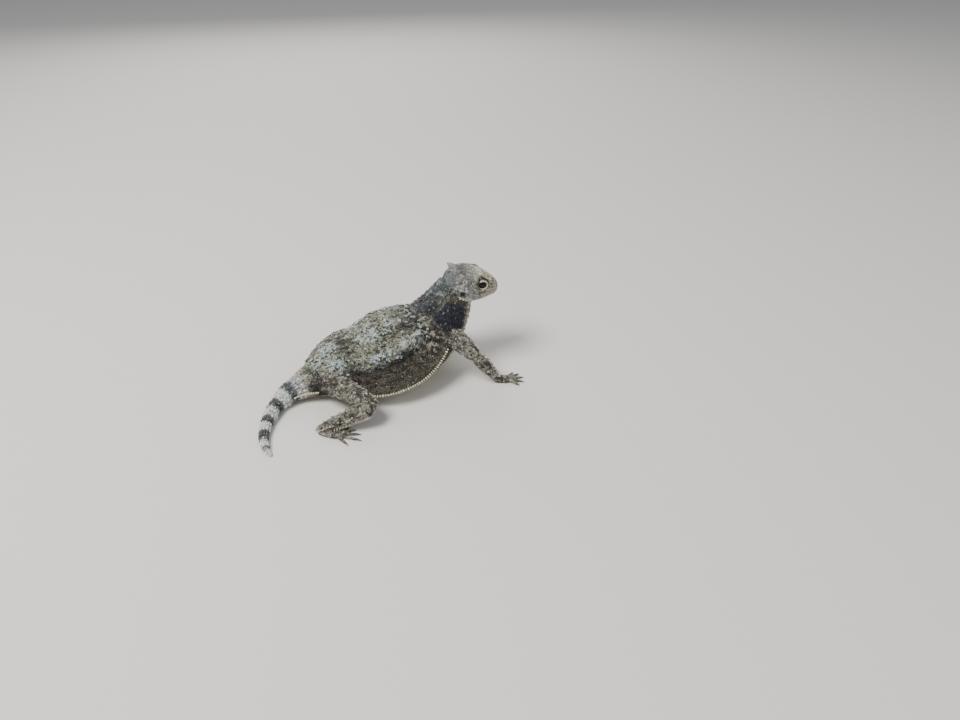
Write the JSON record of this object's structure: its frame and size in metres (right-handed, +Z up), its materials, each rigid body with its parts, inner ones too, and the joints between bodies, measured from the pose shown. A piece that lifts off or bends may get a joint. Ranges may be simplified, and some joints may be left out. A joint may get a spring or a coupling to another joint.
{
  "type": "horned lizard model",
  "caption": "Life-size still model of a round-tailed horned lizard standing with its chest raised, for display on a flat surface.",
  "frame": {"origin": "on the floor, under the middle of the animal's box", "axes": "+X the way the trunk faces, +Y the animal's left, +Z up"},
  "size_m": [0.0746, 0.0504, 0.0306],
  "materials": {
    "hide": "matte scaly skin, grey-olive with dark specks",
    "pale_hide": "matte scaly skin, pale grey-beige",
    "banded_hide": "matte scaly skin in white and dark grey bands",
    "dark_hide": "matte scaly skin, dark blue-grey",
    "horn": "satin horn",
    "eye": "wet dark eye"
  },
  "bodies": {
    "root": {"tail_tip": "banded_hide", "tail_base": "banded_hide", "torso": "hide", "neck": "dark_hide", "head": "pale_hide", "eye_right": "eye", "eye_left": "eye", "horn_occipital_right": "horn", "horn_temporal_right": "horn", "horn_occipital_left": "horn", "horn_temporal_left": "horn", "thigh_right": "hide", "shank_right": "hide", "hind_foot_right": "pale_hide", "upper_arm_right": "hide", "forearm_right": "hide", "hand_right": "pale_hide", "thigh_left": "hide", "shank_left": "hide", "hind_foot_left": "pale_hide", "upper_arm_left": "hide", "forearm_left": "hide", "hand_left": "pale_hide"}
  },
  "joints": []
}
